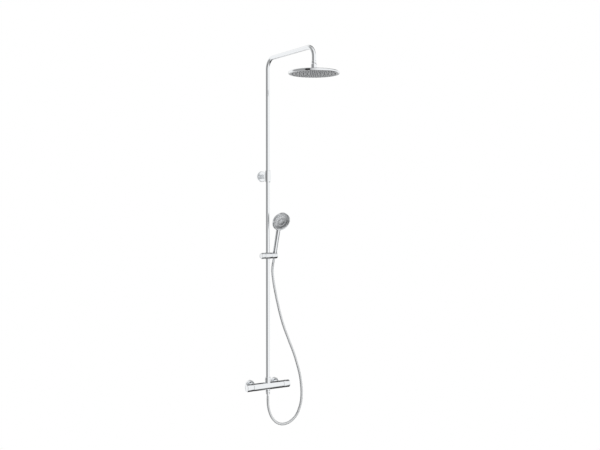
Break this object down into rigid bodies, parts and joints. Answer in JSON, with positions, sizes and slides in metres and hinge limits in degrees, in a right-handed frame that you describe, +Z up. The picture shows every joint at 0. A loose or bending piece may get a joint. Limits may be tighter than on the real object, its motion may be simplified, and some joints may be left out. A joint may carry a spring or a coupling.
{
  "type": "rainfall shower column",
  "caption": "Wall-mounted bar mixer with riser, swivelling arm, wide rain head, sliding handset holder, handset and hose.",
  "frame": {"origin": "in the wall face, midway between the two water inlets, at the height of the mixer bar's axis", "axes": "+X to the right along the wall, +Y into the wall, +Z up along the riser"},
  "size_m": [0.3292, 0.7022, 1.9767],
  "materials": {
    "chrome": "polished chrome plate on brass",
    "chromed_plastic": "polished chrome plate on ABS",
    "spray_plate": "satin chrome plate on ABS",
    "hose_steel": "interlocked stainless strip",
    "steel": "plain stainless steel",
    "brass": "turned brass",
    "black_rubber": "moulded EPDM",
    "grey_silicone": "moulded silicone",
    "white_plastic": "moulded POM",
    "grey_plastic": "moulded nylon",
    "red_plastic": "moulded ABS"
  },
  "bodies": {
    "column": {"mixer_body": "chrome", "wall_union_left": "chrome", "wall_union_right": "chrome", "escutcheon_left": "chrome", "escutcheon_right": "chrome", "inlet_nut_left": "chrome", "inlet_nut_right": "chrome", "inlet_washers": "black_rubber", "check_valves": "white_plastic", "flow_cartridge": "white_plastic", "thermostat_cartridge": "brass", "flow_stop_ring": "white_plastic", "temperature_stop_ring": "white_plastic", "riser_nipple": "brass", "riser_nut": "chrome", "riser_o_ring": "black_rubber", "riser_tube": "chrome", "wall_bracket": "chrome", "bracket_base": "steel", "bracket_rosette": "chrome", "bracket_wall_screw": "steel", "bracket_wall_plug": "grey_plastic", "bracket_grub_screw": "steel", "collar_o_rings": "black_rubber", "hose": "hose_steel", "hose_outlet_nut": "chrome", "hose_outlet_ferrule": "chrome", "outlet_nipple": "brass"},
    "flow_handle": {"flow_handle": "chrome", "flow_handle_cap": "chrome", "flow_handle_screw": "steel", "eco_button_spring": "steel"},
    "eco_button": {"eco_button": "chromed_plastic"},
    "temperature_handle": {"temperature_handle": "chrome", "temperature_handle_cap": "chrome", "temperature_handle_screw": "steel", "stop_button_spring": "steel"},
    "stop_button": {"stop_button": "red_plastic"},
    "arm": {"shower_arm": "chrome", "ball_nipple": "chrome"},
    "ball_seat": {"ball_seat_ring": "white_plastic"},
    "rain_head": {"ball_nut": "chrome", "rain_head_shell": "chromed_plastic", "rain_face_plate": "spray_plate", "rain_nozzles": "grey_silicone", "rain_head_screws": "steel", "flow_limiter": "grey_plastic"},
    "slider_carriage": {"slider_bush": "grey_plastic"},
    "slider": {"slider_body": "chromed_plastic", "brake_shoe": "black_rubber", "tilt_washer": "white_plastic"},
    "lock_knob": {"lock_knob": "chromed_plastic"},
    "holder": {"handset_holder": "chromed_plastic"},
    "handset": {"handset_body": "chromed_plastic", "handset_face": "spray_plate", "handset_nozzles": "grey_silicone", "handset_inlet": "brass", "hose_top_ferrule": "chrome"},
    "selector": {"selector_ring": "chromed_plastic"},
    "cone_nut": {"hose_cone_nut": "chrome"}
  },
  "joints": [
    {"name": "arm_swivel", "type": "hinge", "parent": "column", "child": "arm", "pos_m": [0, -0.072, 1.4], "axis": [0, 0, 1], "range_deg": [-60, 60]},
    {"name": "head_tilt_side", "type": "hinge", "parent": "arm", "child": "ball_seat", "pos_m": [0, -0.537, 1.648], "axis": [0, 1, 0], "range_deg": [-10, 10]},
    {"name": "head_tilt_front", "type": "hinge", "parent": "ball_seat", "child": "rain_head", "pos_m": [0, -0.537, 1.648], "axis": [1, 0, 0], "range_deg": [-10, 10]},
    {"name": "slider_height", "type": "slide", "parent": "column", "child": "slider_carriage", "axis": [0, 0, 1], "range_m": [-0.54, 0.365], "deforming": ["hose"]},
    {"name": "slider_swivel", "type": "hinge", "parent": "slider_carriage", "child": "slider", "pos_m": [0, -0.072, 0.697], "axis": [0, 0, 1], "range_deg": [-45, 45]},
    {"name": "lock_knob_turn", "type": "hinge", "parent": "slider", "child": "lock_knob", "pos_m": [-0.03, -0.072, 0.697], "axis": [1, 0, 0], "range_deg": [0, 90]},
    {"name": "holder_tilt", "type": "hinge", "parent": "slider", "child": "holder", "pos_m": [0.04, -0.072, 0.697], "axis": [1, 0, 0], "range_deg": [-5, 30]},
    {"name": "handset_lift", "type": "slide", "parent": "holder", "child": "handset", "axis": [0, -0.3007, 0.9537], "range_m": [0, 0.06]},
    {"name": "spray_select", "type": "hinge", "parent": "handset", "child": "selector", "pos_m": [0.04, -0.13023, 0.88835], "axis": [0, -0.891, -0.454], "range_deg": [0, 60]},
    {"name": "hose_nut_turn", "type": "hinge", "parent": "handset", "child": "cone_nut", "pos_m": [0.04, -0.072, 0.697], "axis": [0, -0.3007, 0.9537], "continuous": true},
    {"name": "flow_turn", "type": "hinge", "parent": "column", "child": "flow_handle", "pos_m": [-0.11, -0.072, 0], "axis": [1, 0, 0], "range_deg": [-90, 90]},
    {"name": "eco_button_press", "type": "slide", "parent": "flow_handle", "child": "eco_button", "axis": [0, 0, -1], "range_m": [0, 0.0015], "stiffness_N_per_m": 800, "springref_m": -0.002, "deforming": ["eco_button_spring"]},
    {"name": "temperature_turn", "type": "hinge", "parent": "column", "child": "temperature_handle", "pos_m": [0.11, -0.072, 0], "axis": [1, 0, 0], "range_deg": [-60, 150]},
    {"name": "stop_button_press", "type": "slide", "parent": "temperature_handle", "child": "stop_button", "axis": [0, 0, -1], "range_m": [0, 0.0015], "stiffness_N_per_m": 800, "springref_m": -0.002, "deforming": ["stop_button_spring"]}
  ]
}
